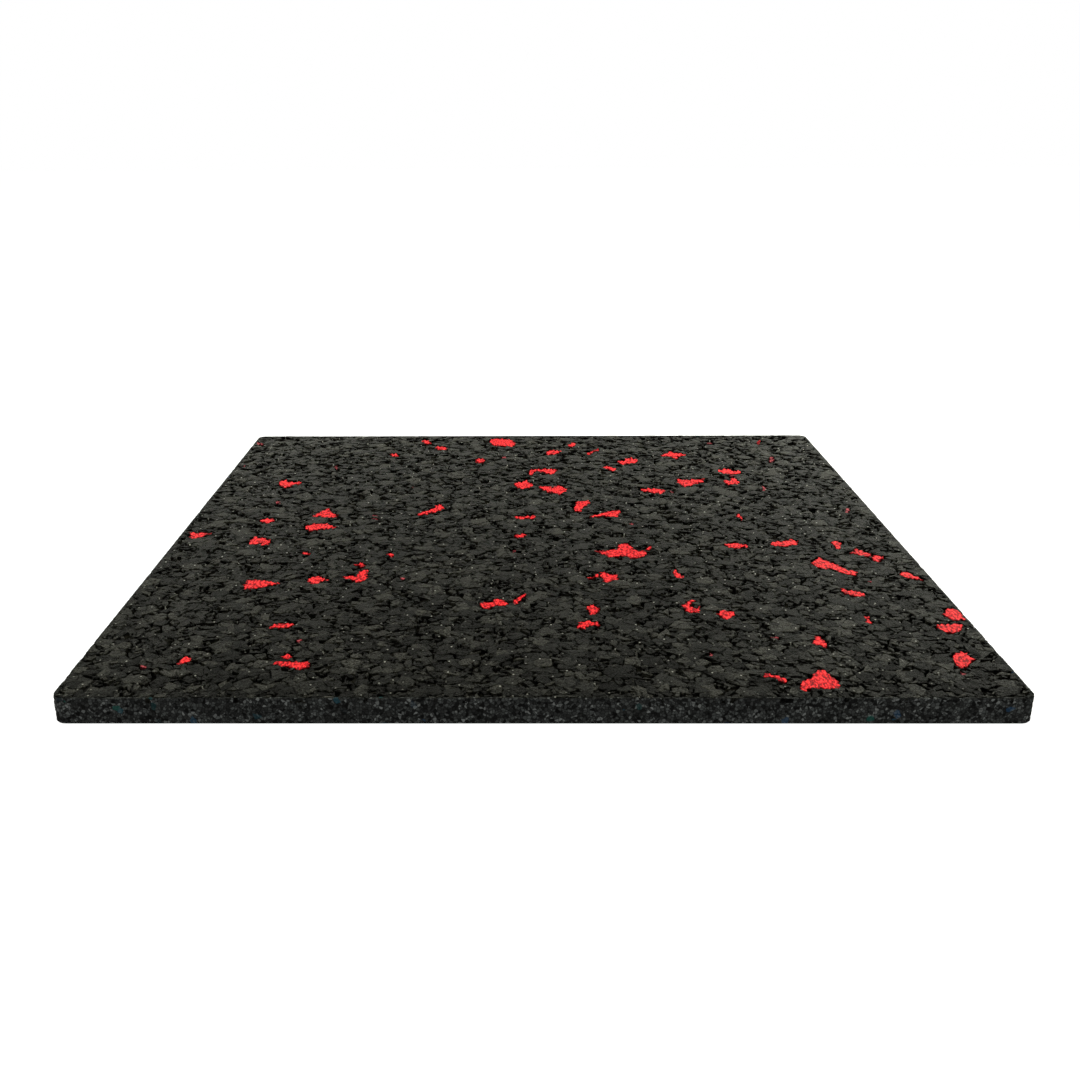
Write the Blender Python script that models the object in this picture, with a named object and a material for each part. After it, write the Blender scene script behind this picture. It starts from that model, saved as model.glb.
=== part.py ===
"""A gym floor tile: one square slab, hot pressed from black rubber shreds and binder.

Metres, +Z up. The origin is at the centre of the underside. The wearing face is up at +Z
and the edge nearest the viewer is at -Y.
"""

import bpy
import bmesh

# Driving dimensions
TILE_SIDE = 0.500
TILE_THICKNESS = 0.015
CORNER_RADIUS = 0.006
EDGE_EASE = 0.0008

# Smoothness of the moulded roundings
CORNER_SEGMENTS = 6
EASE_SEGMENTS = 2

# Looks of the pressed rubber, in linear colour
RUBBER_COLOUR = (0.031, 0.029, 0.026, 1.0)
RUBBER_ROUGHNESS = 0.85
RUBBER_METALLIC = 0.0


def clear_scene():
    """Leave an empty scene to model in."""
    for thing in list(bpy.data.objects):
        bpy.data.objects.remove(thing, do_unlink=True)


def bonded_rubber():
    """The matt, near black of shredded tyre rubber."""
    material = bpy.data.materials.new("bonded_black_rubber")
    material.use_nodes = True
    shader = material.node_tree.nodes["Principled BSDF"]
    shader.inputs["Base Color"].default_value = RUBBER_COLOUR
    shader.inputs["Roughness"].default_value = RUBBER_ROUGHNESS
    shader.inputs["Metallic"].default_value = RUBBER_METALLIC
    material.diffuse_color = RUBBER_COLOUR
    return material


def upright_edges(form):
    """The four corner edges that run from the underside to the wearing face."""
    found = []
    for edge in form.edges:
        low, high = edge.verts
        if abs(low.co.z - high.co.z) > TILE_THICKNESS / 2:
            found.append(edge)
    return found


def perimeter_edges(form):
    """The edges all round the wearing face and all round the underside."""
    found = []
    for edge in form.edges:
        low, high = edge.verts
        level = abs(low.co.z - high.co.z) < TILE_THICKNESS / 2
        flat_faces = [face for face in edge.link_faces if abs(face.normal.z) > 0.5]
        if level and len(flat_faces) == 1:
            found.append(edge)
    return found


def rubber_tile():
    """The slab itself, with the rounded corners and the eased rims of its mould."""
    form = bmesh.new()
    bmesh.ops.create_cube(form, size=1.0)
    bmesh.ops.scale(form, vec=(TILE_SIDE, TILE_SIDE, TILE_THICKNESS), verts=form.verts)
    bmesh.ops.translate(form, vec=(0.0, 0.0, TILE_THICKNESS / 2), verts=form.verts)
    bmesh.ops.bevel(
        form,
        geom=upright_edges(form),
        offset=CORNER_RADIUS,
        offset_type="OFFSET",
        segments=CORNER_SEGMENTS,
        profile=0.5,
        affect="EDGES",
    )
    form.normal_update()
    bmesh.ops.bevel(
        form,
        geom=perimeter_edges(form),
        offset=EDGE_EASE,
        offset_type="OFFSET",
        segments=EASE_SEGMENTS,
        profile=0.5,
        affect="EDGES",
    )
    mesh = bpy.data.meshes.new("rubber_tile")
    form.to_mesh(mesh)
    form.free()
    mesh.materials.append(bonded_rubber())
    tile = bpy.data.objects.new("rubber_tile", mesh)
    bpy.context.scene.collection.objects.link(tile)
    return tile


clear_scene()
rubber_tile()
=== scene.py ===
import math

import bpy
import numpy as np
from mathutils import Matrix, Vector, noise


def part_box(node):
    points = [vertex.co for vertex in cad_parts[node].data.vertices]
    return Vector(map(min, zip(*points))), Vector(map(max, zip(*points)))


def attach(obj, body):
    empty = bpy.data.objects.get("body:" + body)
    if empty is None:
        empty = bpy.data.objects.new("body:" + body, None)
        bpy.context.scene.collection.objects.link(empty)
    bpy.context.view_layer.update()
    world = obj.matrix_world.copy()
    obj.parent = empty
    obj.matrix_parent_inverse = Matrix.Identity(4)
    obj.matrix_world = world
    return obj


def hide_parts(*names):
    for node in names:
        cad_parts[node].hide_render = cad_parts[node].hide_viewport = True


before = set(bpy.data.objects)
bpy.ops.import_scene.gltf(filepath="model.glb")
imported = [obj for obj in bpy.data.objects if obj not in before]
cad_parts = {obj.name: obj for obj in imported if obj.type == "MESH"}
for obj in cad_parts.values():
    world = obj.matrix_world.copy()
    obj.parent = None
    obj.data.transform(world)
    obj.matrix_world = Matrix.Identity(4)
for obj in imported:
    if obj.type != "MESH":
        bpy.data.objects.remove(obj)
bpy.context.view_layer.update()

# The core of the tile.
# Fine crumb of ground tyre rubber and binder, hot pressed in a steel mould, so its sides are
# flat walls of small squashed grains, pitted where the grains don't quite meet.

MM = 0.001
tile_low, tile_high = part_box("rubber_tile")
HALF_SIDE = (tile_high.x - tile_low.x) / 2
TILE_TOP = tile_high.z
CORNER_RADIUS = 6.0 * MM
WALL_STEP = 0.8 * MM
WALL_GRAIN = 1.9 * MM
WALL_PIT = 0.5 * MM
FOOT_EASE = 0.4 * MM
RIM_DROP = 0.4 * MM
RIM_CREST = (0.6 * MM, 0.2 * MM)
RIM_WIDTH = 1.4 * MM
RIM_PIT = 2 * WALL_PIT
BED_DROP = 2.6 * MM
BED_SLOPE = 2.6 * MM


def mould_outline(step):
    """Points round the mould's inner wall, a square with rounded corners, seen from above."""
    straight = HALF_SIDE - CORNER_RADIUS
    arc_steps = round(CORNER_RADIUS * math.pi / 2 / step)
    side_steps = round(2 * straight / step)
    points = []
    for corner in range(4):
        turn = corner * math.pi / 2
        across = Vector((math.cos(turn), math.sin(turn)))
        along = Vector((-math.sin(turn), math.cos(turn)))
        for i in range(side_steps):
            points.append(HALF_SIDE * across + (2 * straight * i / side_steps - straight) * along)
        for i in range(arc_steps):
            swing = math.pi / 2 * i / arc_steps
            arm = CORNER_RADIUS * (math.cos(swing) * across + math.sin(swing) * along)
            points.append(straight * (across + along) + arm)
    return points


def deselect_all():
    """Leaves nothing selected, so that the next primitive stands alone."""
    if bpy.context.object and bpy.context.object.mode != "OBJECT":
        bpy.ops.object.mode_set(mode="OBJECT")
    bpy.ops.object.select_all(action="DESELECT")


def named(name):
    """Names the active object and its mesh."""
    piece = bpy.context.object
    piece.name = name
    piece.data.name = name
    return piece


def pit_between_grains(point, grain):
    """How deep the surface lies at a point: 0 on a grain's face, more in a crack, 1 in a pit."""
    near, second = noise.voronoi(point / grain)[0][:2]
    crack = max(0.0, 1.0 - (second - near) / 0.35)
    hollow = noise.noise(point / (2.9 * grain)) + 0.5 * noise.noise(point / (1.3 * grain))
    return min(1.0, 0.5 * crack * crack + max(0.0, 2.2 * (hollow - 0.25)))


def crumb_core():
    """The mould's outline drawn up row by row into walls, then in over the rim to a sunk bed.

    The bed lies under the shreds. The walls and the edges of the rim and bed are pitted inwards, and the
    rim's crest downwards.
    """
    deselect_all()
    outline = mould_outline(WALL_STEP)
    bpy.ops.mesh.primitive_circle_add(vertices=len(outline), fill_type="NGON")
    core = named("crumb_core")
    foot_size = 1.0 - FOOT_EASE / HALF_SIDE
    for vertex, place in zip(core.data.vertices, outline):
        vertex.co = (place.x * foot_size, place.y * foot_size, 0.0)
    rim = TILE_TOP - RIM_DROP
    rows = round(rim / WALL_STEP)
    profile = [(0.0, FOOT_EASE + (rim - FOOT_EASE) * i / rows) for i in range(rows + 1)]
    profile += [(RIM_CREST[0], rim + RIM_CREST[1]), (RIM_WIDTH, rim)]
    profile += [(BED_SLOPE, TILE_TOP - BED_DROP)]
    bpy.ops.object.mode_set(mode="EDIT")
    bpy.ops.mesh.select_all(action="SELECT")
    reach, level = HALF_SIDE - FOOT_EASE, 0.0
    for inward, height in profile:
        bpy.ops.mesh.extrude_region_move(TRANSFORM_OT_translate={"value": (0, 0, height - level)})
        size = (HALF_SIDE - inward) / reach
        bpy.ops.transform.resize(value=(size, size, 1.0), center_override=(0, 0, 0))
        reach, level = HALF_SIDE - inward, height
    bpy.ops.mesh.select_all(action="SELECT")
    bpy.ops.mesh.normals_make_consistent(inside=False)
    bpy.ops.object.mode_set(mode="OBJECT")
    for vertex in core.data.vertices:
        if FOOT_EASE / 2 < vertex.co.z:
            pit = pit_between_grains(vertex.co, WALL_GRAIN)
            if vertex.co.z < rim + 0.01 * MM:
                size = 1.0 - WALL_PIT * pit / HALF_SIDE
                vertex.co = (vertex.co.x * size, vertex.co.y * size, vertex.co.z)
            else:
                vertex.co.z -= RIM_PIT * pit
    bpy.ops.object.shade_smooth_by_angle(angle=math.radians(50))
    return core


def linear(hex_colour):
    """An sRGB hex colour as the linear numbers that a shader takes."""
    parts = [int(hex_colour[i:i + 2], 16) / 255 for i in (1, 3, 5)]
    return [p / 12.92 if p < 0.04045 else ((p + 0.055) / 1.055) ** 2.4 for p in parts] + [1.0]


def add(tree, kind, inputs=None, **settings):
    """Adds one node with its settings, each input set to a value or linked to a node or socket."""
    made = tree.nodes.new("ShaderNode" + kind)
    for name, value in settings.items():
        setattr(made, name, value)
    for name, value in (inputs or {}).items():
        if isinstance(value, bpy.types.Node):
            value = value.outputs[0]
        if isinstance(value, bpy.types.NodeSocket):
            tree.links.new(value, made.inputs[name])
        else:
            made.inputs[name].default_value = value
    return made


def new_material(name):
    """An empty material and its node tree."""
    material = bpy.data.materials.new(name)
    material.use_nodes = True
    material.node_tree.nodes.clear()
    return material, material.node_tree


def pressed_crumb():
    """Ground tyre rubber in binder: matt, near black, each grain its own grey, cracks darkened by painted
    shade.
    """
    material, tree = new_material("pressed_crumb")
    place = add(tree, "TexCoord").outputs["Object"]
    # The grains, 1.6 mm across.
    grains = add(tree, "TexVoronoi", {"Vector": place, "Scale": 1 / (1.6 * MM)})
    edges = add(tree, "TexVoronoi", {
        "Vector": place, "Scale": 1 / (1.6 * MM)}, feature="DISTANCE_TO_EDGE")
    shade = add(tree, "SeparateColor", {"Color": grains.outputs["Color"]})
    ramp = add(tree, "ValToRGB", {"Fac": shade.outputs["Red"]})
    ramp.color_ramp.elements[0].color = linear("#050505")
    ramp.color_ramp.elements[1].color = linear("#5a5c5c")
    for at, colour in ((0.45, "#262727"), (0.85, "#393b3b")):
        ramp.color_ramp.elements.new(at).color = linear(colour)
    # Painted shade darkens the cracks between the grains.
    painted_crack_shade = add(tree, "MapRange", {"Value": edges, "From Max": 0.15, "To Min": 0.1})
    colour = add(tree, "Mix", {0: 1.0, 6: ramp, 7: painted_crack_shade}, data_type="RGBA", blend_type="MULTIPLY")
    # Now and then a grain of 3 mm is ground from a teal or a blue sheet.
    large_grains = add(tree, "TexVoronoi", {"Vector": place, "Scale": 1 / (3.0 * MM)})
    sheet = add(tree, "SeparateColor", {"Color": large_grains.outputs["Color"]})
    dyed = add(tree, "MapRange", {
        "Value": sheet.outputs["Green"], "From Min": 0.975, "From Max": 0.985, "To Max": 0.6})
    dye = add(tree, "Mix", {
        0: sheet.outputs["Blue"], 6: linear("#0e3e38"), 7: linear("#1a2c48")}, data_type="RGBA")
    grain = add(tree, "Mix", {0: dyed, 6: colour.outputs[2], 7: dye.outputs[2]}, data_type="RGBA")
    # The grit on the grains, under 1 mm.
    fine = add(tree, "TexNoise", {
        "Vector": place, "Scale": 1 / (0.9 * MM), "Detail": 3.0, "Roughness": 0.6})
    bump = add(tree, "Bump", {"Height": fine, "Strength": 0.6, "Distance": 0.15 * MM})
    shader = add(tree, "BsdfPrincipled", {
        "Base Color": grain.outputs[2], "Roughness": 0.8, "Specular IOR Level": 0.04,
        "Normal": bump})
    add(tree, "OutputMaterial", {"Surface": shader})
    return material


core = crumb_core()
core.data.materials.append(pressed_crumb())
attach(core, "root")
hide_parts("rubber_tile")

# The red flecks of the wearing face.
# Flakes of red EPDM rubber poured in with the black shreds and pressed flush with them. The
# lid squeezed them flat, so each shows one level, ragged patch of bright mottled red.

FLECK_FOOT = TILE_TOP - 3.0 * MM
FLECK_TOP = TILE_TOP - 0.15 * MM
FLECK_EASE = 0.4 * MM
FLECK_RIM = 0.3 * MM
FLECK_STEP = 1.3 * MM
FLECK_RAG = 0.6 * MM
# How much deeper than wide the tears in an edge are, at the tile's front and at its back.
RAG_IN_DEPTH = (1, 3)
# How far the photo's blur has widened the outlines: sideways, and in depth at front and back.
BLUR_ACROSS = 0.2 * MM
BLUR_IN_DEPTH = (0.3 * MM, 1.7 * MM)
rng = np.random.default_rng(11)

# Outlines as they lie in the photo, in mm from the tile's middle, from the front to the back.
RED_FLECKS = [
    [(132, -241), (133.5, -236.5), (135.5, -232), (140, -228), (143, -224), (145.5, -220), (148.5, -218.5),
     (151, -219.5), (151.5, -223.5), (153, -226.5), (154.5, -229.5), (154.5, -235), (153, -239.5),
     (149, -240), (143.5, -239.5), (138.5, -239.5), (136, -240.5), (134.5, -242.5)],
    [(116, -226.5), (117, -223), (119, -222), (121.5, -224), (125, -225.5), (127, -228), (128, -231.5),
     (126, -233), (123.5, -231), (122.5, -228), (119.5, -226.5), (118, -227.5)],
    [(-144.5, -209.5), (-141, -208), (-138, -208), (-133, -209), (-127, -208.5), (-124.5, -211),
     (-123.5, -214), (-126, -217), (-129, -219), (-131.5, -217), (-136, -215), (-141, -213.5),
     (-143.5, -212)],
    [(-139, -198), (-136.5, -199.5), (-135.5, -203), (-137, -205.5), (-140, -205), (-141.5, -203),
     (-140.5, -200)],
    [(-193.5, -202), (-191, -203.5), (-190, -207), (-192, -211), (-195.5, -212.5), (-196.5, -211),
     (-195.5, -207)],
    [(227.5, -198.5), (230, -196.5), (233, -199), (233.5, -203.5), (234.5, -206.5), (231, -210.5),
     (228, -215), (223.5, -217), (221.5, -213.5), (222.5, -208.5), (223.5, -202), (225.5, -199.5)],
    [(155.5, -177.5), (158.5, -177.5), (159.5, -182.5), (160, -187.5), (158, -192), (156.5, -189.5),
     (153, -189), (151, -187.5), (152, -185), (154, -182)],
    [(228, -165), (229.5, -162), (231.5, -160.5), (235.5, -161.5), (238, -161.5), (241, -160.5),
     (243.5, -161.5), (242.5, -165.5), (240, -169.5), (236.5, -172.5), (234.5, -174), (231.5, -173),
     (229.5, -170), (228.5, -167)],
    [(-156, -164), (-154.5, -161.5), (-151.5, -159), (-148.5, -159.5), (-146, -159), (-143, -159.5),
     (-142, -162.5), (-144, -165), (-147.5, -166), (-150.5, -166), (-153, -165.5), (-155, -167),
     (-156, -166.5)],
    [(21.5, -166.5), (22, -162.5), (23.5, -158), (26, -157.5), (29.5, -155.5), (31, -157.5), (34, -158),
     (35, -161), (34, -164.5), (30, -163.5), (27, -165.5), (23.5, -167)],
    [(190.5, -150), (193.5, -150.5), (193, -154.5), (193, -159.5), (190, -160), (189.5, -158),
     (191, -154.5)],
    [(237, -147.5), (239.5, -144.5), (242.5, -140), (246, -138.5), (248.5, -141.5), (249, -148),
     (248.5, -156), (245, -156.5), (241, -154.5), (239, -152)],
    [(104.5, -146), (106.5, -145.5), (107.5, -142.5), (109.5, -141.5), (112, -142.5), (116, -143.5),
     (116, -147.5), (114, -150), (111, -154), (110, -155.5), (108, -154), (106.5, -150.5)],
    [(86.5, -138.5), (87, -134), (89, -130), (91.5, -127), (95.5, -126.5), (94.5, -128.5), (92.5, -130),
     (91, -133), (92, -137), (94.5, -138), (96, -135), (97, -137), (96, -141), (94.5, -144.5), (91, -145.5),
     (88, -144.5), (87, -141.5)],
    [(28.5, -137), (30.5, -135), (31, -133), (33.5, -133), (34.5, -136), (37, -138), (36, -142.5),
     (34, -147), (32, -149), (30, -147), (30, -142.5), (29, -139.5)],
    [(-35.5, -134.5), (-35, -130.5), (-31.5, -129), (-28.5, -128.5), (-26.5, -125.5), (-23, -124),
     (-21.5, -125), (-20, -128), (-18, -131.5), (-19.5, -134.5), (-22.5, -134.5), (-26, -135), (-28, -137),
     (-29.5, -140), (-32.5, -138)],
    [(-16, -130.5), (-15.5, -125.5), (-13, -123), (-10.5, -119.5), (-8.5, -115.5), (-7, -117.5),
     (-8.5, -121.5), (-10.5, -124), (-11.5, -128), (-12, -132), (-14, -133)],
    [(187.5, -112.5), (189, -109), (193, -110), (196.5, -112), (199, -115), (201, -118.5), (199, -121),
     (195.5, -122), (192.5, -121), (190.5, -117.5), (188.5, -115)],
    [(-185, -94), (-180, -93), (-175, -94), (-170.5, -95), (-167.5, -97), (-162, -99), (-163, -100.5),
     (-168, -103.5), (-173.5, -106), (-178.5, -108.5), (-183.5, -108), (-184.5, -102)],
    [(-146, -95.5), (-146, -91.5), (-143.5, -88), (-139.5, -87.5), (-137, -90), (-134.5, -91.5),
     (-132.5, -94), (-135, -96), (-137, -97), (-138.5, -99.5), (-139, -102), (-141.5, -101.5),
     (-143, -98.5)],
    [(-124, -89), (-120, -87.5), (-115.5, -86.5), (-115, -82), (-113.5, -78), (-110, -75.5),
     (-108.5, -77.5), (-109, -82.5), (-109.5, -87.5), (-108.5, -92.5), (-110.5, -95.5), (-113.5, -98.5),
     (-116.5, -95.5), (-120, -93), (-122.5, -91.5)],
    [(-120.5, -68.5), (-117.5, -66.5), (-116.5, -63.5), (-114, -64.5), (-113, -67.5), (-111, -70.5),
     (-113.5, -72), (-116, -70.5), (-119, -70)],
    [(41, -82), (42.5, -79.5), (45, -81), (47.5, -84), (51.5, -85), (51.5, -90.5), (51, -95), (46.5, -97),
     (43.5, -99), (42, -98), (41.5, -93), (40.5, -87.5)],
    [(31, -91.5), (32.5, -89), (36, -88.5), (38, -85.5), (40, -86), (40, -89), (37, -90.5), (34, -92.5),
     (32, -93)],
    [(180.5, -67), (182, -62.5), (184.5, -60), (187.5, -55.5), (190, -60), (193, -62.5), (195.5, -67),
     (197.5, -71), (199, -76), (201, -79.5), (204, -79.5), (205, -82.5), (203.5, -87), (200.5, -87.5),
     (197.5, -85), (195, -82), (192.5, -77.5), (188.5, -77.5), (184.5, -75.5), (182, -71.5)],
    [(222.5, -60), (224, -55), (227, -52), (230.5, -52.5), (230, -56.5), (227.5, -61), (225, -66),
     (223.5, -63.5)],
    [(232, -84.5), (234, -82), (238.5, -82), (240.5, -86), (242.5, -91), (244.5, -94), (243, -96.5),
     (240, -94), (236.5, -92.5), (233.5, -90.5), (232, -87.5)],
    [(87.5, -85), (88, -80), (89.5, -76.5), (90, -81), (91.5, -84.5), (93.5, -87.5), (93, -91.5),
     (90.5, -92.5), (88.5, -90.5)],
    [(-245, -5.5), (-242, -5.5), (-240, -7), (-237, -6), (-233, -6), (-229, -6), (-229.5, -10), (-232, -13),
     (-234.5, -16.5), (-237, -19), (-240, -19), (-242, -15.5), (-244, -10.5)],
    [(-198.5, -25), (-198, -19.5), (-196.5, -15), (-194, -16.5), (-191, -17), (-187.5, -19.5), (-185, -22),
     (-183.5, -26.5), (-184, -31.5), (-186.5, -32), (-189.5, -30.5), (-194, -30.5), (-197.5, -30.5)],
    [(-158, -47.5), (-157, -45), (-154.5, -44.5), (-152, -46.5), (-152, -49), (-154.5, -50),
     (-156.5, -49.5)],
    [(-100, -49), (-98, -47.5), (-95.5, -49.5), (-95.5, -52), (-97, -55), (-99, -52.5)],
    [(39, -43.5), (43, -41.5), (47.5, -42.5), (51, -40.5), (55, -41), (56, -36), (58, -31.5), (61.5, -28),
     (64, -32), (65.5, -36.5), (66, -41), (69, -43.5), (71.5, -41.5), (74.5, -44.5), (74.5, -50),
     (72.5, -52.5), (70.5, -55), (66, -58), (62, -56.5), (59.5, -53.5), (55, -54.5), (51, -55.5),
     (46.5, -52.5), (43, -47.5)],
    [(74.5, -41), (75, -37), (77.5, -34), (79, -36.5), (78, -41), (75.5, -43)],
    [(128.5, -34), (129.5, -30), (132.5, -28.5), (137, -28), (140, -28.5), (142, -31), (144.5, -31.5),
     (145, -35), (143, -38.5), (140.5, -37.5), (137, -38.5), (133.5, -38), (130.5, -36)],
    [(161, -33), (161.5, -28.5), (163, -25.5), (167, -25), (171, -25), (173.5, -23.5), (177, -22),
     (181, -23.5), (180.5, -28), (179, -32.5), (175.5, -33), (172.5, -34.5), (169, -36), (165, -36),
     (162.5, -35)],
    [(203, -33), (203, -28), (205.5, -24.5), (208.5, -25), (210, -29.5), (208, -34), (207, -38), (205, -41),
     (203.5, -38.5)],
    [(210.5, -47), (214, -45), (215, -41), (217, -39.5), (220, -43), (222.5, -47.5), (223.5, -50),
     (222.5, -54.5), (218.5, -55), (216, -52.5), (213.5, -50.5)],
    [(-15, -13.5), (-14, -10), (-11, -10), (-9.5, -8), (-7, -10), (-5.5, -12.5), (-7, -14.5), (-9, -17.5),
     (-12, -19), (-14.5, -17.5)],
    [(-165.5, 7), (-163, 9.5), (-160, 13), (-157.5, 10.5), (-154, 10.5), (-150, 12.5), (-147.5, 11),
     (-145.5, 7), (-142.5, 5), (-143.5, 2), (-148, 1), (-152, 0), (-155, -2.5), (-159, -3), (-162.5, -2),
     (-164, 2)],
    [(-200.5, 19.5), (-199, 22.5), (-196.5, 23.5), (-194.5, 24), (-191.5, 24), (-190, 19.5), (-191, 15.5),
     (-193, 11.5), (-195.5, 13.5), (-198, 15), (-199.5, 17.5)],
    [(-164, 28.5), (-161.5, 33), (-159, 38.5), (-157, 43.5), (-155.5, 46), (-153.5, 43), (-152, 38.5),
     (-149, 34.5), (-145.5, 30.5), (-146, 26.5), (-148, 24), (-152, 26), (-155.5, 26.5), (-159.5, 26.5),
     (-163, 26)],
    [(-15, 26), (-13, 28), (-9.5, 27.5), (-6.5, 28), (-3, 28.5), (-2, 31.5), (0, 29), (0, 22.5), (-3, 21),
     (-7, 21.5), (-11, 21), (-13.5, 22)],
    [(40, 25), (41, 28.5), (45, 31), (49, 34.5), (53, 38.5), (56.5, 40.5), (62.5, 41), (64.5, 38.5),
     (63.5, 35), (61.5, 33), (61.5, 28.5), (60.5, 25.5), (56, 25.5), (51, 26), (45.5, 26.5), (42.5, 25.5)],
    [(148, 27), (148.5, 31), (150.5, 33), (151, 28.5), (152, 25.5), (151.5, 20), (150, 17), (149.5, 22)],
    [(29.5, 39.5), (29.5, 46), (31, 51), (32, 59), (33.5, 62), (36.5, 62), (38.5, 60.5), (40, 64),
     (42, 63.5), (42.5, 57.5), (40.5, 54.5), (39, 50), (36.5, 45.5), (35, 40), (34, 35.5), (32, 37)],
    [(-87, 30), (-86, 34.5), (-83, 37.5), (-79.5, 41), (-77.5, 44.5), (-75, 47.5), (-75, 52), (-73, 55.5),
     (-70.5, 54.5), (-69, 51), (-67, 45.5), (-69.5, 42), (-72.5, 39), (-74.5, 35), (-78.5, 33), (-82.5, 31),
     (-85, 28.5)],
    [(-15.5, 104.5), (-15, 108.5), (-12, 111), (-9, 110), (-8.5, 115), (-5.5, 114), (-4.5, 110.5),
     (-2, 107.5), (0, 103), (-0.5, 99.5), (-3.5, 97), (-7, 93), (-9.5, 91.5), (-12, 94), (-14, 99.5)],
    [(3.5, 98), (6, 99.5), (10.5, 100.5), (13, 98.5), (15, 94.5), (17, 98), (19.5, 103), (21.5, 100),
     (24, 96), (25.5, 91.5), (25, 85), (22.5, 80.5), (19, 77), (16.5, 81.5), (12.5, 82.5), (9.5, 86.5),
     (6.5, 91), (4, 93)],
    [(83.5, 90), (85, 93.5), (90, 94), (97.5, 94), (100, 91.5), (103, 87), (101.5, 82.5), (99.5, 79),
     (95.5, 81), (91.5, 81), (88, 83), (85, 86.5)],
    [(-204.5, 113), (-203, 117), (-200, 116), (-198, 113.5), (-195.5, 111.5), (-190, 109.5), (-189, 113.5),
     (-187, 113), (-186.5, 108.5), (-187, 104.5), (-190, 105.5), (-192.5, 103), (-194, 99.5), (-197.5, 96),
     (-200, 99.5), (-202.5, 102.5), (-204, 107.5)],
    [(116, 107), (116, 114), (117.5, 119), (119, 115.5), (123.5, 114.5), (128, 117), (133.5, 116),
     (138, 119.5), (136.5, 113), (134, 107.5), (130, 103), (125.5, 102), (122.5, 97.5), (119, 96),
     (117.5, 101)],
    [(152.5, 105), (153, 113), (155, 114), (158, 113), (159.5, 116), (160.5, 120.5), (163, 120.5),
     (164, 115), (165, 107.5), (163, 104.5), (159.5, 102.5), (156, 101.5)],
    [(152.5, 137.5), (153, 143), (156.5, 145), (161.5, 146), (164, 143), (168, 142), (171.5, 139.5),
     (171, 133.5), (168.5, 130.5), (164.5, 130), (160.5, 131), (156.5, 132), (154, 134.5)],
    [(-3, 131), (-3.5, 137), (-2.5, 143), (1, 145.5), (6, 145.5), (10.5, 147), (16.5, 147), (20, 145),
     (19.5, 139), (17.5, 133.5), (15, 128.5), (13, 132), (10, 134.5), (6, 138.5), (3.5, 140), (1.5, 136.5),
     (0, 131), (-1.5, 129)],
    [(59, 151), (62.5, 155.5), (64.5, 153), (66, 150.5), (69, 147.5), (69.5, 143.5), (67, 140), (64, 143),
     (60, 146.5)],
    [(72, 167), (73, 170), (77, 170.5), (79.5, 174), (81, 177), (86, 177), (89, 174.5), (90, 170),
     (88.5, 165.5), (86, 160.5), (82.5, 162), (79, 161), (77.5, 157.5), (75, 159), (73.5, 163)],
    [(-49, 170), (-49, 175), (-45.5, 178), (-42.5, 177), (-40.5, 171.5), (-41.5, 166), (-44.5, 162.5),
     (-48, 164)],
    [(111, 185), (114, 190), (117.5, 191.5), (119, 195.5), (123, 194), (127, 193), (130.5, 191),
     (132.5, 187.5), (130.5, 183.5), (127.5, 181.5), (125, 178), (122.5, 173.5), (120.5, 177), (119, 180.5),
     (114.5, 182.5), (112, 181)],
    [(12, 191.5), (13, 198), (15, 201.5), (18.5, 204.5), (20.5, 201), (25, 199.5), (23.5, 195.5),
     (21.5, 191), (19.5, 186.5), (17.5, 187.5), (15, 187.5), (14, 183.5), (12.5, 187)],
    [(-124, 189), (-122.5, 193), (-120, 194.5), (-118.5, 191.5), (-116.5, 187.5), (-116, 183.5),
     (-118.5, 182), (-122, 184.5)],
    [(47, 191.5), (49, 195.5), (51.5, 198), (55, 202), (57.5, 206.5), (58.5, 208.5), (59.5, 204.5),
     (58.5, 200), (55.5, 198), (53, 194), (50, 189.5), (48.5, 187)],
    [(-85, 211), (-84, 215.5), (-81, 217), (-80, 216), (-77, 213), (-75, 208.5), (-76, 204), (-79, 202.5),
     (-81.5, 206), (-85, 207.5)],
    [(31.5, 220.5), (34.5, 222), (36.5, 226.5), (38.5, 227.5), (39, 222), (38, 215), (35, 211.5),
     (32.5, 214)],
    [(-38, 232), (-37, 237), (-33.5, 240.5), (-29, 241), (-24.5, 239), (-21.5, 237.5), (-17.5, 235.5),
     (-15.5, 231), (-15, 224), (-15.5, 217.5), (-18, 213), (-20.5, 215.5), (-24, 214), (-28, 214),
     (-31.5, 215.5), (-34.5, 219), (-37, 224)],
    [(-100, 232), (-99, 235.5), (-96, 236.5), (-93.5, 233), (-91.5, 228.5), (-90.5, 223.5), (-93, 222),
     (-96, 224.5), (-98.5, 228.5)],
    [(201, 218), (201.5, 224.5), (203.5, 231), (206, 235.5), (206, 230.5), (204, 225.5), (203, 219.5)],
]

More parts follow.
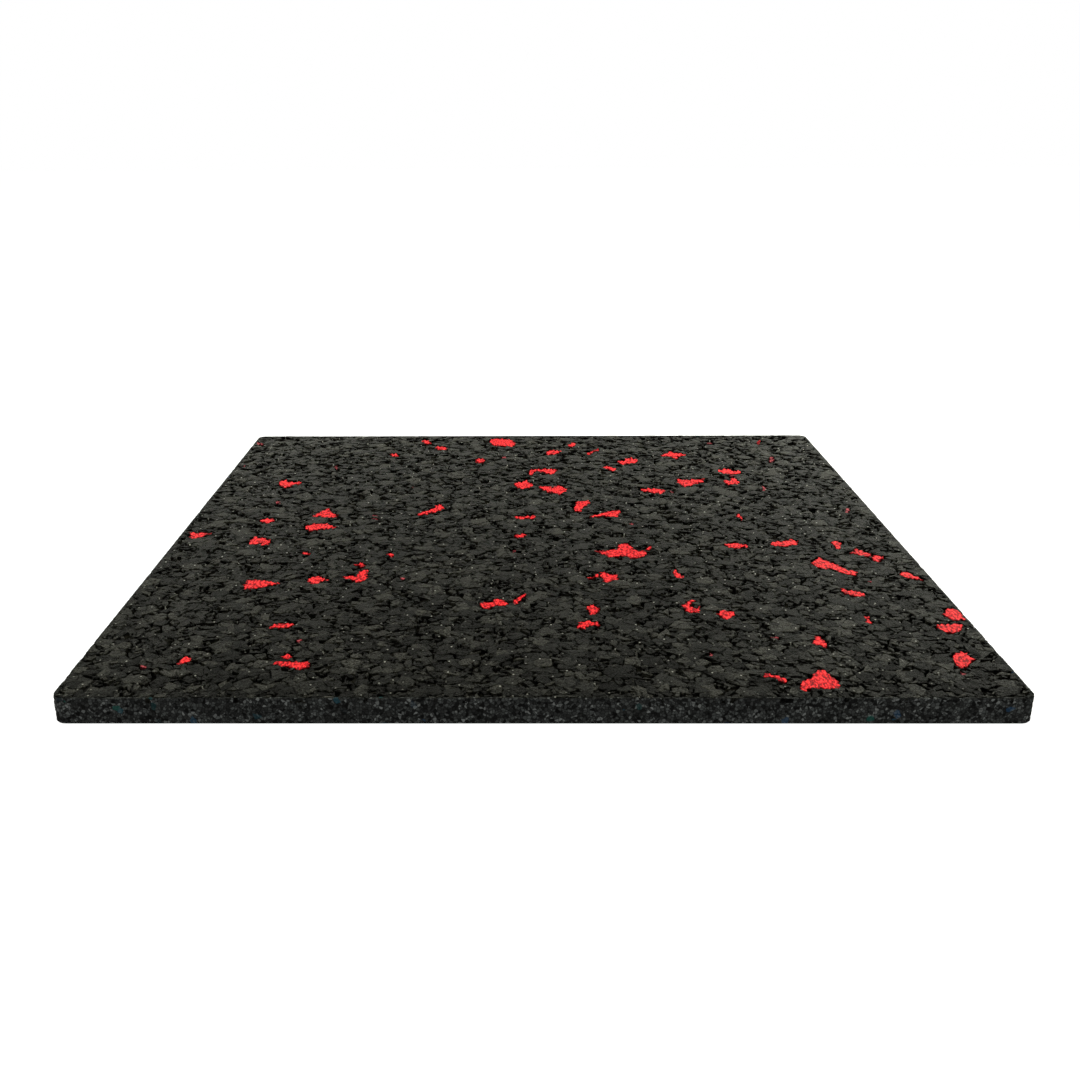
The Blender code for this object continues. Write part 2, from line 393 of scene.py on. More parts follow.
# Smaller bits of red, dulled because black dust or a shred lies half over them.
DULL_FLECKS = [
    [(220.5, -220.5), (222.5, -221), (222.5, -223.5), (221, -225)],
    [(-214.5, -212.5), (-212, -213), (-211.5, -216), (-213.5, -217.5), (-215, -215)],
    [(92, -201.5), (93, -198), (93.5, -202.5)],
    [(-137, -181.5), (-134, -180), (-133.5, -183), (-135, -186)],
    [(131, -178), (133.5, -177), (135, -178.5), (134, -181), (131.5, -180.5)],
    [(207.5, -98), (209.5, -96), (211, -96.5), (210, -99), (208, -99)],
    [(-87.5, -89.5), (-84.5, -89), (-84.5, -92), (-87, -92.5)],
    [(-16.5, -42.5), (-14, -42), (-13.5, -45.5), (-15.5, -47)],
    [(68.5, 12), (70, 15.5), (71, 13), (70.5, 9.5), (68.5, 8.5)],
    [(-118.5, 23), (-115, 22.5), (-114.5, 20.5), (-117, 21)],
    [(-119.5, 31), (-117.5, 31.5), (-117, 28), (-119, 27.5)],
    [(230.5, 37), (231.5, 42), (233.5, 45), (235, 43.5), (233.5, 38.5), (231.5, 34.5)],
    [(-198.5, 62), (-196.5, 64.5), (-194.5, 62.5), (-193, 57), (-194, 55), (-196, 57.5)],
    [(106.5, 84), (107, 88), (108.5, 86), (108.5, 82.5)],
    [(179, 88), (181.5, 99), (183, 95), (181.5, 88), (180, 86.5)],
    [(-96.5, 96), (-96, 100), (-94.5, 95), (-95, 93)],
    [(160.5, 129), (164, 128.5), (164, 123), (161.5, 122.5)],
    [(-166.5, 154), (-166, 158), (-163.5, 153.5), (-162.5, 149), (-164, 146), (-166, 149)],
    [(-244, 161), (-242.5, 160), (-241.5, 154), (-243, 153.5)],
    [(200.5, 164), (202, 172), (203.5, 179), (206, 182.5), (205.5, 176), (204, 168.5), (202, 162)],
    [(-26, 181), (-24.5, 184), (-22.5, 182), (-23, 177), (-24.5, 175), (-25.5, 177.5)],
    [(156, 222), (159, 227), (161.5, 225), (159.5, 220), (157, 219.5)],
    [(-248.5, 227.5), (-246.5, 230), (-243.5, 228), (-241.5, 222), (-244, 222.5), (-247.5, 224.5)],
]


def front_to_back(y, ends):
    """The value at a place y, between the one at the tile's front edge and the one at its back."""
    return np.interp(y, (-HALF_SIDE, HALF_SIDE), ends)


def torn_edge(outline):
    """The outline in metres, drawn in by the blur, with many points, each a little out of line."""
    points = []
    corners = np.array(outline, float) * MM
    after = np.roll(corners, -1, 0)
    if np.sum(corners[:, 0] * after[:, 1] - corners[:, 1] * after[:, 0]) < 0:
        corners = corners[::-1]
    for start, end in zip(corners, np.roll(corners, -1, 0)):
        run = end - start
        outward = np.array([run[1], -run[0]]) / np.hypot(*run)
        parts = max(1, round(np.hypot(*run) / FLECK_STEP))
        for i in range(parts):
            point = start + run * i / parts
            blur = np.array([BLUR_ACROSS, front_to_back(point[1], BLUR_IN_DEPTH)])
            rag = rng.normal(0, FLECK_RAG) * np.array([1.0, front_to_back(point[1], RAG_IN_DEPTH)])
            points.append(point + outward * (rag - blur))
    return points


def red_flake(outline, drop):
    """One flake: its torn outline drawn up to just under the tile's top, its rim pressed round.

    The mark flake_face is 1 on the pressed face and near 0 on the torn sides, where it sets black dust and
    painted shade, darkest at the foot.
    """
    deselect_all()
    points = torn_edge(outline)
    bpy.ops.mesh.primitive_circle_add(vertices=len(points), fill_type="NGON")
    flake = named("red_flake")
    for vertex, (x, y) in zip(flake.data.vertices, points):
        vertex.co = (x, y, FLECK_FOOT)
    rise = FLECK_TOP - drop - FLECK_EASE - FLECK_FOOT
    bpy.ops.object.mode_set(mode="EDIT")
    bpy.ops.mesh.select_all(action="SELECT")
    bpy.ops.mesh.extrude_region_move(TRANSFORM_OT_translate={"value": (0, 0, rise)})
    bpy.ops.mesh.inset(thickness=FLECK_RIM, depth=FLECK_EASE, use_even_offset=False)
    bpy.ops.mesh.select_all(action="SELECT")
    bpy.ops.mesh.normals_make_consistent(inside=False)
    bpy.ops.mesh.quads_convert_to_tris()
    bpy.ops.object.mode_set(mode="OBJECT")
    heights = np.array([vertex.co.z for vertex in flake.data.vertices])
    # Painted shade and dust: the wall darkens from the pressed face down to the foot.
    clean_and_lit = np.interp(heights, [FLECK_FOOT, heights.max() - FLECK_EASE, heights.max()], [0, 0.12, 1])
    flake.data.attributes.new("flake_face", "FLOAT", "POINT").data.foreach_set("value", clean_and_lit)
    return flake


def joined_flakes(name, outlines, most_drop):
    """All the flakes of one kind, joined into one piece."""
    flakes = [red_flake(outline, rng.uniform(0, most_drop)) for outline in outlines]
    deselect_all()
    for flake in flakes:
        flake.select_set(True)
    bpy.ops.object.join()
    return named(name)


def red_rubber(name, pale, fair, dark):
    """Red EPDM: matt, its pigment milled in unevenly, so it is mottled in bright and dark red."""
    material, tree = new_material(name)
    place = add(tree, "TexCoord").outputs["Object"]
    face = add(tree, "Attribute", attribute_name="flake_face").outputs["Fac"]
    # The real mottle is finer. It is drawn 1.5 mm wide, and longer in depth, so that it shows
    # when the face is seen at a low angle.
    drawn_out = add(tree, "Mapping", {"Vector": place, "Scale": (1.0, 0.45, 1.0)})
    mottle = add(tree, "TexNoise", {
        "Vector": drawn_out, "Scale": 1 / (1.5 * MM), "Detail": 3.0, "Roughness": 0.7})
    share = add(tree, "MapRange", {"Value": mottle, "From Min": 0.42, "From Max": 0.6})
    rubbed = add(tree, "ValToRGB", {"Fac": share})
    rubbed.color_ramp.elements[0].color = linear(dark)
    rubbed.color_ramp.elements[1].color = linear(pale)
    rubbed.color_ramp.elements.new(0.5).color = linear(fair)
    # Black dust clings to the torn sides, which the lid never pressed, and painted shade darkens them
    # towards the foot.
    colour = add(tree, "Mix", {0: face, 6: linear("#1c0c0c"), 7: rubbed}, data_type="RGBA")
    bump = add(tree, "Bump", {"Height": mottle, "Distance": 0.4 * MM})
    shader = add(tree, "BsdfPrincipled", {
        "Base Color": colour.outputs[2], "Roughness": 0.65, "Specular IOR Level": 0.025,
        "Normal": bump})
    add(tree, "OutputMaterial", {"Surface": shader})
    return material


bright_flecks = joined_flakes("red_flecks", RED_FLECKS, 0.1 * MM)
bright_red = red_rubber("red_epdm_rubber", "#ff3538", "#d2111e", "#6e0a12")
bright_flecks.data.materials.append(bright_red)
dull_flecks = joined_flakes("dull_red_flecks", DULL_FLECKS, 0.3 * MM)
dusty_red = red_rubber("dusty_red_epdm_rubber", "#b04850", "#8c3038", "#4c1a20")
dull_flecks.data.materials.append(dusty_red)
for piece in (bright_flecks, dull_flecks):
    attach(piece, "root")


def inside(outline, x, y):
    """Which of the points x, y lie inside a closed outline."""
    found = np.zeros(len(x), bool)
    for (x0, y0), (x1, y1) in zip(outline, np.roll(outline, -1, 0)):
        crosses = (y0 > y) != (y1 > y)
        found ^= crosses & (x < (x1 - x0) * (y - y0) / (y1 - y0 + 1e-12) + x0)
    return found


# A grid over the face, to keep count of what is covered, and the cells that the flecks cover.
CELL = 0.5 * MM
cells = round(2 * HALF_SIDE / CELL)
middles = (np.arange(cells) + 0.5) * CELL - HALF_SIDE
cell_x, cell_y = (part.ravel() for part in np.meshgrid(middles, middles))
red_cover = np.zeros(cells * cells, bool)
for outline in RED_FLECKS + DULL_FLECKS:
    corners = np.array(outline, float) * MM
    near = np.flatnonzero(
        (cell_x > corners[:, 0].min()) & (cell_x < corners[:, 0].max())
        & (cell_y > corners[:, 1].min()) & (cell_y < corners[:, 1].max()))
    red_cover[near] |= inside(corners, cell_x[near], cell_y[near])
red_cover = red_cover.reshape(cells, cells)

# The pressed shreds of the wearing face.
# Strips and chips torn from tyres, poured over the crumb and pressed against the mould's lid,
# so their upper faces lie nearly in one plane, with deep black gaps where none came to lie.

SHRED_FOOT = TILE_TOP - BED_DROP - 0.4 * MM
SHRED_EASE = 0.2 * MM
SHORT_OF_WALL = 1.2 * MM
FACE_ROUGH = 0.06 * MM
FOLD_ROUGH = 0.12 * MM
FOOT_SPREAD = 1.12
SHOULDER = 0.9
# The photo's shreds read larger and smoother towards the back: how much, at front and back.
GROWTH = (0.9, 1.3)
UNEVENNESS = (1.3, 0.2)
# The mould's lid didn't touch what sank deeper than this.
LID_REACH = 0.9 * MM


def torn_outline(points, corners, slimness):
    """A torn shred from above, one unit long: a few corners, with ragged edges between them."""
    turns = (np.arange(corners) + rng.uniform(-0.30, 0.30, corners)) / corners * 2 * np.pi
    reach = rng.uniform(0.55, 1.0, corners)
    corner_x = np.append(np.cos(turns) * reach, np.cos(turns[0]) * reach[0])
    corner_y = np.append(np.sin(turns) * reach, np.sin(turns[0]) * reach[0])
    walked = np.insert(np.cumsum(np.hypot(np.diff(corner_x), np.diff(corner_y))), 0, 0.0)
    at = (np.arange(points) + rng.uniform(-0.25, 0.25, points)) / points * walked[-1]
    at %= walked[-1]
    for corner in range(corners):
        at[np.argmin(abs(at - walked[corner]))] = walked[corner]
    at = np.sort(at)
    ragged = 1 + rng.uniform(-0.06, 0.03, points)
    outline = np.stack([np.interp(at, walked, corner_x), np.interp(at, walked, corner_y)], 1)
    outline *= ragged[:, None] * (1.0, slimness)
    outline -= outline.mean(0)
    return outline / np.ptp(outline[:, 0])


def shred_master(points, corners, slimness, rings):
    """One shred, a unit long and a unit deep: drawn up from its foot, its pressed face creased."""
    deselect_all()
    bpy.ops.mesh.primitive_circle_add(vertices=points, fill_type="NGON")
    shred = named("torn_shred")
    for vertex, (x, y) in zip(shred.data.vertices, torn_outline(points, corners, slimness)):
        vertex.co = (x * FOOT_SPREAD, y * FOOT_SPREAD, 0.0)
    bpy.ops.object.mode_set(mode="EDIT")
    bpy.ops.mesh.select_all(action="SELECT")
    bpy.ops.mesh.extrude_region_move(TRANSFORM_OT_translate={"value": (0, 0, SHOULDER)})
    drawn_in = 1 / FOOT_SPREAD
    bpy.ops.transform.resize(value=(drawn_in, drawn_in, 1.0), center_override=(0, 0, SHOULDER))
    for rise, size in rings:
        bpy.ops.mesh.extrude_region_move(TRANSFORM_OT_translate={"value": (0, 0, rise)})
        bpy.ops.transform.resize(value=(size, size, 1.0), center_override=(0, 0, 1.0))
    bpy.ops.mesh.poke()
    bpy.ops.mesh.select_all(action="SELECT")
    bpy.ops.mesh.normals_make_consistent(inside=False)
    bpy.ops.mesh.quads_convert_to_tris()
    bpy.ops.object.mode_set(mode="OBJECT")
    mesh = shred.data
    points_of = np.empty(len(mesh.vertices) * 3)
    mesh.vertices.foreach_get("co", points_of)
    faces_of = np.empty(len(mesh.polygons) * 3, int)
    mesh.polygons.foreach_get("vertices", faces_of)
    bpy.data.objects.remove(shred)
    return points_of.reshape(-1, 3), faces_of.reshape(-1, 3)


def spots_under(points, outline_points):
    """A fine grid of spots under a master, to try where it would cover the face."""
    outline = points[np.isclose(points[:, 2], SHOULDER)][:outline_points, :2]
    across = np.arange(-0.75, 0.76, 0.035)
    x, y = (part.ravel() for part in np.meshgrid(across, across))
    kept = inside(outline, x, y)
    return np.stack([x[kept], y[kept]], 1)


def shred_masters(points, corner_counts, slimnesses, rings):
    """A set of shreds to copy: points and faces of each, and the spots of the face it covers."""
    kinds = []
    for corners in corner_counts:
        for slimness in slimnesses:
            slim = slimness * rng.uniform(0.85, 1.1)
            points_of, faces_of = shred_master(points, corners, slim, rings)
            kinds.append((points_of, faces_of, spots_under(points_of, points)))
    return kinds


# Large shreds have an eased rim and a fold on the face, small ones an eased rim, chips neither.
folded, eased = ((0.1, 0.93), (0.05, 0.5)), ((0.1, 0.93),)
large_kinds = shred_masters(11, (3, 4, 4, 5, 5, 5, 6, 6, 7), (0.45, 0.75, 1.0), folded)
medium_kinds = shred_masters(8, (3, 4, 4, 5, 5, 6), (0.4, 0.7, 0.95), folded)
small_kinds = shred_masters(7, (3, 4, 5, 6), (0.4, 0.65, 0.95), eased)
chip_kinds = shred_masters(7, (3, 4, 5), (0.4, 0.65, 0.95), ())


def patches(across):
    """A map of the face, 0 to 1, in soft blobs, of which about so many lie side by side."""
    waves = np.fft.rfft2(rng.normal(0, 1, (cells, cells)))
    pitch = np.hypot(np.fft.fftfreq(cells)[:, None], np.fft.rfftfreq(cells)[None, :]) * cells
    waves *= np.exp(-((pitch - across) / (0.5 * across)) ** 2)
    field = np.fft.irfft2(waves, (cells, cells))
    return np.clip(0.5 + 0.25 * field / field.std(), 0, 1)


# Maps of the face. Pits, left open down to the deep shreds, are larger and more towards the
# back. Where the shreds crowd, they lie closer over each other and leave fewer pits.
backward = (middles[:, None] + HALF_SIDE) / (2 * HALF_SIDE)
swing = backward * np.pi / 2
pits = (patches(100) - 0.5) * np.cos(swing) + (patches(55) - 0.5) * np.sin(swing)
crowd = patches(24)
pit_cover = pits > 0.37 - 0.13 * backward + 0.25 * (crowd - 0.5)
close_laid = 0.5 + 3.5 * crowd ** 2
MOST_ON_PIT = 0.1
SHALLOW_MM = 0.5
LEAST_ON_TILE = 0.75
MOST_COVERED = 0.7
DROPS_A_ROUND = 400
FEWEST_HITS = 4
MOST_MISSES = 25


def lay_shreds(covered, kinds, length_mm, cover, most_overlap, sink_mm, tilt, loose, on_red):
    """Drops shreds at random on bare cells of the face until it is covered as far as asked.

    It stops sooner once too many rounds have found room for hardly any.
    """
    laid = []
    side = covered.shape[0]
    misses = 0
    while covered.mean() < cover and misses < MOST_MISSES:
        bare = np.flatnonzero(~covered.ravel())
        picks = rng.choice(bare, DROPS_A_ROUND)
        hits = 0
        for pick in picks:
            kind = rng.integers(len(kinds))
            turn = rng.uniform(0, 2 * np.pi)
            x = (pick % side + 0.5) * CELL - HALF_SIDE
            y = (pick // side + 0.5) * CELL - HALF_SIDE
            if rng.random() < loose:
                x, y = rng.uniform(-HALF_SIDE, HALF_SIDE, 2)
            grown = front_to_back(y, GROWTH)
            length = rng.triangular(length_mm[0], length_mm[1], length_mm[2]) * MM * grown
            spots = kinds[kind][2] * length
            spot_x = x + spots[:, 0] * np.cos(turn) - spots[:, 1] * np.sin(turn)
            spot_y = y + spots[:, 0] * np.sin(turn) + spots[:, 1] * np.cos(turn)
            column = np.floor((spot_x + HALF_SIDE) / CELL).astype(int)
            row = np.floor((spot_y + HALF_SIDE) / CELL).astype(int)
            on = (column >= 0) & (column < side) & (row >= 0) & (row < side)
            if on.mean() < LEAST_ON_TILE:
                continue
            here = row[on], column[on]
            if covered[here].mean() > min(MOST_COVERED, most_overlap * close_laid[here].mean()):
                continue
            if red_cover[here].mean() > on_red:
                continue
            if sink_mm[0] < SHALLOW_MM and pit_cover[here].mean() > MOST_ON_PIT:
                continue
            covered[here] = True
            hits += 1
            laid.append((
                kind, x, y, turn, length, rng.uniform(*sink_mm) * MM * grown,
                rng.normal(0, tilt / grown), rng.normal(0, tilt / grown), rng.random()))
        misses = misses + 1 if hits < FEWEST_HITS else 0
    return laid


def inside_mould(x, y, inset):
    """Moves points that stick out of the mould back to its wall."""
    wall = HALF_SIDE - inset
    x, y = np.clip(x, -wall, wall), np.clip(y, -wall, wall)
    straight = HALF_SIDE - CORNER_RADIUS
    beyond_x, beyond_y = abs(x) - straight, abs(y) - straight
    arm = np.hypot(beyond_x, beyond_y)
    radius = CORNER_RADIUS - inset
    outside = (beyond_x > 0) & (beyond_y > 0) & (arm > radius)
    pull = np.where(outside, radius / np.maximum(arm, 1e-9), 1.0)
    x = np.where(pull < 1, np.sign(x) * (straight + beyond_x * pull), x)
    y = np.where(pull < 1, np.sign(y) * (straight + beyond_y * pull), y)
    return x, y


def joined_shreds(name, kinds, laid):
    """One mesh of all the shreds laid: each master turned, sized, tilted and pressed flat.

    Its marks: shred_tone, a number of the shred's own; shred_face, how hard the lid pressed it
    there, which also sets painted shade on the torn sides and sunk shreds; shred_crowd, how
    crowded the place is; shred_place, where it is on its own shred.
    """
    all_points, all_faces, all_marks, all_places = [], [], [], []
    count = 0
    laid = np.array(laid)
    for kind, (points_of, faces_of, _) in enumerate(kinds):
        ours = laid[laid[:, 0] == kind]
        if not len(ours):
            continue
        _, x, y, turn, length, sink, tilt_x, tilt_y, tone = (part[:, None] for part in ours.T)
        local_x, local_y = points_of[:, 0] * length, points_of[:, 1] * length
        height = points_of[None, :, 2]
        shoulder = height > 0.5
        top = height > 0.95 if height.max() > 0.95 else shoulder
        fold = height > 1.02
        level = TILE_TOP - sink
        slope = local_x * tilt_x + local_y * tilt_y
        rough = rng.normal(0, 1, slope.shape) * np.where(fold, FOLD_ROUGH, FACE_ROUGH)
        rough *= front_to_back(y, UNEVENNESS)
        face_z = np.minimum(level + slope + rough, level)
        z = np.where(shoulder, face_z - np.where(top, 0.0, SHRED_EASE), SHRED_FOOT)
        inset = rng.uniform(0.0, SHORT_OF_WALL, x.shape) + np.where(top, SHRED_EASE, 0.0)
        plan_x = x + local_x * np.cos(turn) - local_y * np.sin(turn)
        plan_y = y + local_x * np.sin(turn) + local_y * np.cos(turn)
        plan_x, plan_y = inside_mould(plan_x, plan_y, inset)
        points = np.stack([plan_x, plan_y, z], 2).reshape(-1, 3)
        steps = (np.arange(len(ours)) * len(points_of))[:, None, None] + count
        all_points.append(points)
        all_faces.append((faces_of[None] + steps).reshape(-1, 3))
        # On the torn sides and on shreds sunk past the lid's reach, this mark gives painted shade.
        pressed_and_shaded = np.where(top, 1.0, np.where(shoulder, 0.5, 0.0))
        pressed_and_shaded = pressed_and_shaded * np.maximum(0.0, 1 - (sink / LID_REACH) ** 2)
        column = np.clip((plan_x + HALF_SIDE) / CELL, 0, cells - 1).astype(int)
        row = np.clip((plan_y + HALF_SIDE) / CELL, 0, cells - 1).astype(int)
        marks = np.stack([
            np.broadcast_to(tone, z.shape), np.broadcast_to(pressed_and_shaded, z.shape), crowd[row, column]], 2)
        all_marks.append(marks.reshape(-1, 3))
        # The tone in the height gives each shred its own part of a pattern.
        place = np.stack([local_x, local_y, z + tone * 3.0], 2)
        all_places.append(place.reshape(-1, 3))
        count += len(points)
    points, faces = np.concatenate(all_points), np.concatenate(all_faces)
    marks, places = np.concatenate(all_marks), np.concatenate(all_places)
    mesh = bpy.data.meshes.new(name)
    mesh.vertices.add(len(points))
    mesh.vertices.foreach_set("co", points.ravel())
    mesh.loops.add(faces.size)
    mesh.loops.foreach_set("vertex_index", faces.ravel())
    mesh.polygons.add(len(faces))
    mesh.polygons.foreach_set("loop_start", np.arange(len(faces)) * 3)
    mesh.update(calc_edges=True)
    for mark, values in (
            ("shred_tone", marks[:, 0]), ("shred_face", marks[:, 1]), ("shred_crowd", marks[:, 2])):
        mesh.attributes.new(mark, "FLOAT", "POINT").data.foreach_set("value", values)
    mesh.attributes.new("shred_place", "FLOAT_VECTOR", "POINT").data.foreach_set(
        "vector", places.ravel())
    piece = bpy.data.objects.new(name, mesh)
    bpy.context.scene.collection.objects.link(piece)
    deselect_all()
    piece.select_set(True)
    bpy.context.view_layer.objects.active = piece
    bpy.ops.object.shade_smooth_by_angle(angle=math.radians(38))
    return piece


def torn_tyre_rubber():
    """Shredded tyre tread: grey bloom where the lid pressed it, painted shade on torn sides, sunk shreds
    and cracks.
    """
    material, tree = new_material("torn_tyre_rubber")
    tone, face, crowd_here = (
        add(tree, "Attribute", attribute_name=name).outputs["Fac"]
        for name in ("shred_tone", "shred_face", "shred_crowd"))
    place = add(tree, "Attribute", attribute_name="shred_place").outputs["Vector"]
    flat = add(tree, "TexCoord").outputs["Object"]
    ramp = add(tree, "ValToRGB", {"Fac": tone})
    ramp.color_ramp.elements[0].color = linear("#0a0a09")
    ramp.color_ramp.elements[1].color = linear("#2b2a24")
    ramp.color_ramp.elements.new(0.55).color = linear("#12120f")
    # The torn facets of the pressed face, 1.5 mm across and longer along the shred.
    stretched = add(tree, "Mapping", {"Vector": place, "Scale": (0.45, 1.0, 1.0)})
    facets = add(tree, "TexVoronoi", {"Vector": stretched, "Scale": 1 / (1.5 * MM)})
    facet = add(tree, "SeparateColor", {"Color": facets.outputs["Color"]})
    faceted = add(tree, "MapRange", {"Value": facet.outputs["Red"], "To Min": 0.5, "To Max": 1.5})
    # Dust and scuffs over them, from 1 mm down.
    scuffs = add(tree, "TexNoise", {
        "Vector": place, "Scale": 1 / (1.1 * MM), "Detail": 4.0, "Roughness": 0.8})
    scuffed = add(tree, "MapRange", {
        "Value": scuffs, "From Min": 0.42, "From Max": 0.6, "To Min": 0.4, "To Max": 2.3})
    rubbed = add(tree, "Math", {0: scuffed, 1: faceted}, operation="MULTIPLY")
    # The photo's shreds are evener in shade from past the middle of the tile to its back.
    depth = add(tree, "SeparateXYZ", {"Vector": flat}).outputs["Y"]
    calm = add(tree, "MapRange", {"Value": depth, "From Min": -HALF_SIDE, "From Max": 0.2 * HALF_SIDE})
    mottle = add(tree, "Mix", {0: calm, 2: rubbed, 3: 0.95}, data_type="FLOAT")
    # Grey bloom on the pressed face; torn sides and sunk shreds keep half the colour, as painted shade.
    bloom_and_shade = add(tree, "MapRange", {"Value": face, "To Min": 0.5})
    # Towards the back, the cracks lie further apart and are wider, and the scuffs are flatter.
    closer, width, scuff_depth = (
        add(tree, "MapRange", {
            "Value": depth, "From Min": -HALF_SIDE, "From Max": HALF_SIDE,
            "To Min": front, "To Max": back})
        for front, back in ((1.1, 0.8), (0.035, 0.2), (0.4 * MM, 0.04 * MM)))
    # The cracks round shreds pressed together, 8 mm apart, bent and ragged, and in places shut,
    # are painted shade, darkening both the colour and the sheen. Real ones are hair fine. These
    # are drawn wide enough to show, as shares of the 8 mm.
    spread = add(tree, "VectorMath", {0: flat, 1: closer}, operation="MULTIPLY")
    stray = add(tree, "TexNoise", {
        "Vector": spread, "Scale": 1 / (3.5 * MM), "Detail": 3.0, "Roughness": 0.7}, noise_dimensions="2D")
    bent = add(tree, "VectorMath", {
        0: stray.outputs["Color"], 1: (5.0 * MM, 5.0 * MM, 0.0), 2: spread}, operation="MULTIPLY_ADD")
    seams = add(tree, "TexVoronoi", {
        "Vector": bent, "Scale": 1 / (8.0 * MM)}, voronoi_dimensions="2D", feature="DISTANCE_TO_EDGE")
    clear = add(tree, "Math", {0: seams, 1: width}, operation="SUBTRACT")
    seam = add(tree, "MapRange", {"Value": clear, "From Max": 0.02})
    shut = add(tree, "MapRange", {"Value": stray, "From Min": 0.5, "From Max": 0.52, "To Min": 0.15})
    crowded = add(tree, "MapRange", {
        "Value": crowd_here, "From Min": 0.65, "From Max": 0.85, "To Min": 0.1})
    closed = add(tree, "Math", {0: crowded, 1: shut}, operation="MAXIMUM")
    painted_seam_shade = add(tree, "Math", {0: seam, 1: closed}, operation="MAXIMUM")
    # Painted shade: the cracks, torn sides and sunk shreds are darkened in the colour.
    pressed_and_shaded = add(tree, "Math", {0: painted_seam_shade, 1: bloom_and_shade}, operation="MULTIPLY")
    factor = add(tree, "Math", {0: mottle, 1: pressed_and_shaded}, operation="MULTIPLY")
    colour = add(tree, "Mix", {0: 1.0, 6: ramp, 7: factor}, data_type="RGBA", blend_type="MULTIPLY")
    # Pale specks of chalk and cord fluff, and painted glints, about 1 mm across and 7 mm apart, most of
    # them faint.
    specks = add(tree, "TexVoronoi", {"Vector": flat, "Scale": 1 / (7.0 * MM)}, voronoi_dimensions="2D")
    speck = add(tree, "MapRange", {
        "Value": specks, "From Min": 0.05, "From Max": 0.08, "To Min": 1.0, "To Max": 0.0})
    glint = add(tree, "SeparateColor", {"Color": specks.outputs["Color"]})
    glints = add(tree, "Math", {0: glint.outputs["Red"], 1: 5.0}, operation="POWER")
    speck_here = add(tree, "Math", {0: speck, 1: glints}, operation="MULTIPLY")
    specked = add(tree, "Mix", {
        0: speck_here, 6: colour.outputs[2], 7: linear("#c9c8be")}, data_type="RGBA")
    bump = add(tree, "Bump", {"Height": rubbed, "Distance": scuff_depth})
    # Only the pressed face shines a little: unevenly in front, and evenly past the middle.
    gleam = add(tree, "MapRange", {
        "Value": scuffs, "From Min": 0.4, "From Max": 0.6, "To Min": 0.5, "To Max": 1.5})
    polish = add(tree, "MapRange", {"Value": tone, "To Min": 0.4, "To Max": 1.5})
    uneven = add(tree, "Math", {0: gleam, 1: polish}, operation="MULTIPLY")
    shine = add(tree, "Mix", {0: calm, 2: uneven, 3: 0.95}, data_type="FLOAT")
    lit = add(tree, "Math", {0: painted_seam_shade, 1: face}, operation="MULTIPLY")
    patchy = add(tree, "Math", {0: lit, 1: shine}, operation="MULTIPLY")
    sheen = add(tree, "Math", {0: patchy, 1: 0.0235}, operation="MULTIPLY")
    shader = add(tree, "BsdfPrincipled", {
        "Base Color": specked.outputs[2], "Roughness": 0.45,
        "Specular IOR Level": sheen, "Normal": bump})
    add(tree, "OutputMaterial", {"Surface": shader})
    return material


face_cover = red_cover.copy()
rubber = torn_tyre_rubber()
# Of each layer: its least, usual and greatest length in mm, the share of the face covered once
# it is laid, how far a shred may overlap others, how many mm it sinks, its tilt, the share laid
# anywhere and not on a bare spot, and how far a shred may lie on red.
for name, kinds, length_mm, cover, most_overlap, sink_mm, tilt, loose, on_red in (
        ("large_shreds", large_kinds, (8, 11, 17), 0.42, 0.16, (0.0, 0.2), 0.02, 1.0, 0.03),
        ("medium_shreds", medium_kinds, (5, 7.5, 11), 0.63, 0.2, (0.0, 0.35), 0.03, 0.8, 0.05),
        ("small_shreds", small_kinds, (3.5, 5.5, 8), 0.755, 0.25, (0.0, 0.5), 0.05, 0.3, 0.25),
        ("fine_shreds", chip_kinds, (2.5, 3.5, 5), 0.80, 0.3, (0.05, 0.6), 0.1, 0.0, 0.35),
        ("deep_shreds", chip_kinds, (6, 9, 12), 0.96, 0.95, (0.8, 1.6), 0.12, 0.0, 0.05)):
    laid = lay_shreds(face_cover, kinds, length_mm, cover, most_overlap, sink_mm, tilt, loose, on_red)
    piece = joined_shreds(name, kinds, laid)
    piece.data.materials.append(rubber)
    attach(piece, "root")

# The floor, the light and the camera.
# A plain white floor and surround, soft light from all round, and the photograph's own view.

WORLD_GLOW = 0.15
WARM = (0.98, 0.995, 0.87)
FLOOR_SIZE = 12.0
# The floor glows, so that no shadow shows, as in the photo.
FLOOR_GLOW = 0.965
bpy.ops.mesh.primitive_plane_add(size=FLOOR_SIZE, location=(0, 0, 0))
floor = named("studio_floor")
white, tree = new_material("studio_white")
shader = add(tree, "BsdfPrincipled", {
    "Base Color": (0.3, 0.3, 0.3, 1.0), "Roughness": 1.0, "Specular IOR Level": 0.0,
    "Emission Color": (1.0, 1.0, 1.0, 1.0), "Emission Strength": FLOOR_GLOW})
add(tree, "OutputMaterial", {"Surface": shader})
floor.data.materials.append(white)

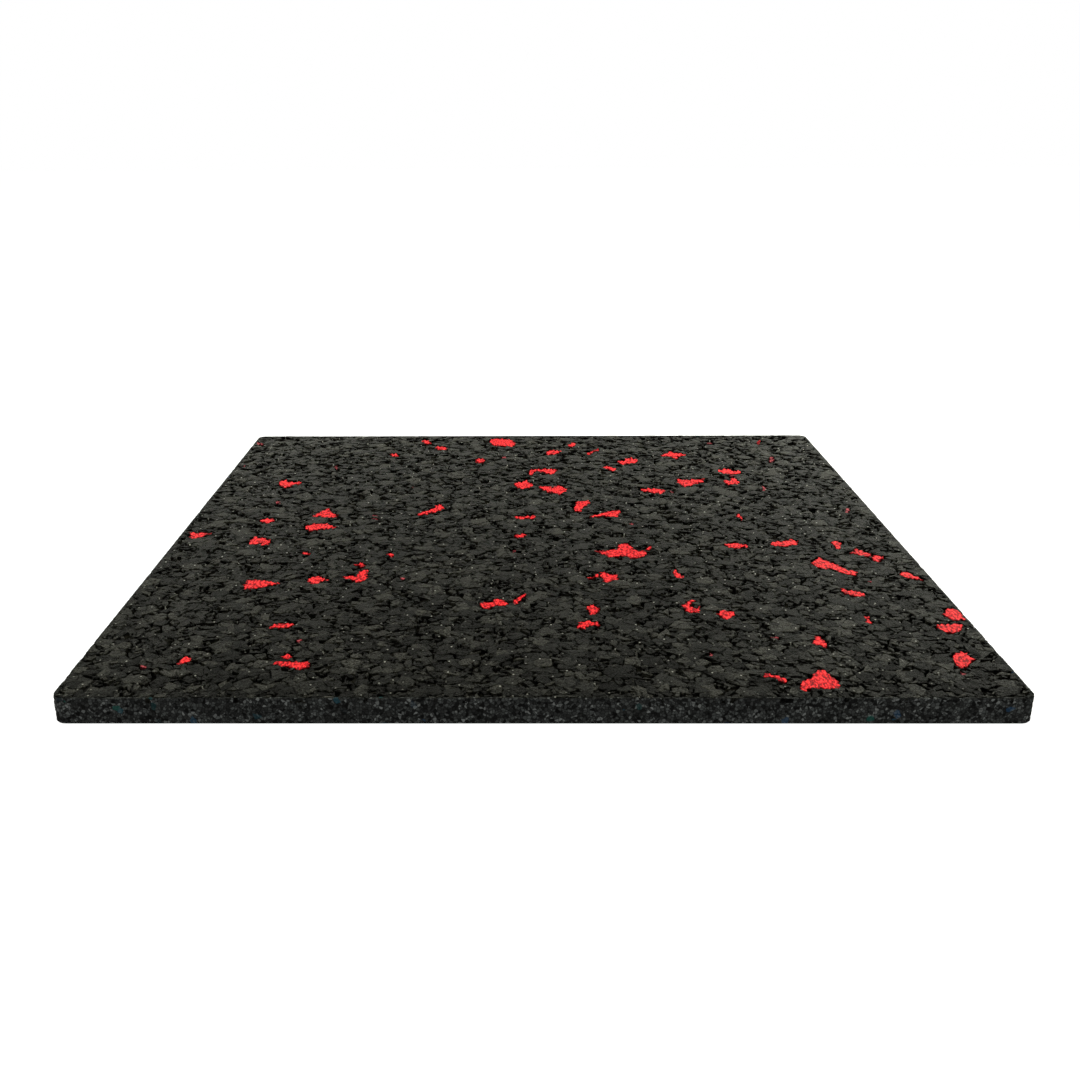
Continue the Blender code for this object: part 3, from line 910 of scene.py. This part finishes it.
world = bpy.data.worlds.new("studio")
bpy.context.scene.world = world
world.use_nodes = True
tree = world.node_tree
tree.nodes.clear()
seen = add(tree, "LightPath").outputs["Is Camera Ray"]
dim = add(tree, "Background", {"Color": (*WARM, 1.0), "Strength": WORLD_GLOW})
clear = add(tree, "Background", {"Color": (1.0, 1.0, 1.0, 1.0), "Strength": 1.0})
both = add(tree, "MixShader", {0: seen, 1: dim, 2: clear})
add(tree, "OutputWorld", {"Surface": both})
bpy.context.scene.view_settings.view_transform = "Standard"


def softbox(name, place, aim, size, power):
    """A soft rectangular light of so many watts at a place, turned towards what it lights."""
    light = bpy.data.lights.new(name, "AREA")
    light.shape = "RECTANGLE"
    light.size, light.size_y = size
    light.color = WARM
    light.energy = power
    lamp = bpy.data.objects.new(name, light)
    bpy.context.scene.collection.objects.link(lamp)
    lamp.location = place
    lamp.rotation_euler = (Vector(aim) - Vector(place)).to_track_quat("-Z", "Y").to_euler()
    return lamp


softbox("overhead_softbox", (0.0, -0.1, 1.6), (0.0, 0.0, 0.0), (1.6, 1.6), 20.0)
softbox("back_left_softbox", (-0.75, 0.9, 0.55), (0.0, 0.0, 0.0), (0.6, 0.4), 10.0)
softbox("back_right_softbox", (0.75, 0.9, 0.55), (0.0, 0.0, 0.0), (0.6, 0.4), 17.0)
softbox("back_softbox", (0.0, 1.7, 0.32), (0.0, 0.2, 0.0), (1.6, 0.25), 6.5)
softbox("front_right_softbox", (0.9, -1.2, 0.5), (0.1, -0.25, 0.0), (0.6, 0.6), 4.0)

# The camera's place, turn and lens were fitted to the tile's outline in the photo.
lens = bpy.data.cameras.new("camera")
camera = bpy.data.objects.new("camera", lens)
bpy.context.scene.collection.objects.link(camera)
bpy.context.scene.camera = camera
camera.location = (-0.0113, -0.7579, 0.2909)
level_turn = Matrix.Rotation(math.radians(0.51), 3, "Z")
dip = Matrix.Rotation(math.radians(90 - 20.58), 3, "X")
lean = Matrix.Rotation(math.radians(-0.25), 3, "Z")
camera.rotation_euler = (level_turn @ dip @ lean).to_euler()
lens.sensor_width = 36.0
lens.lens = 37.77
lens.shift_x = 0.0278
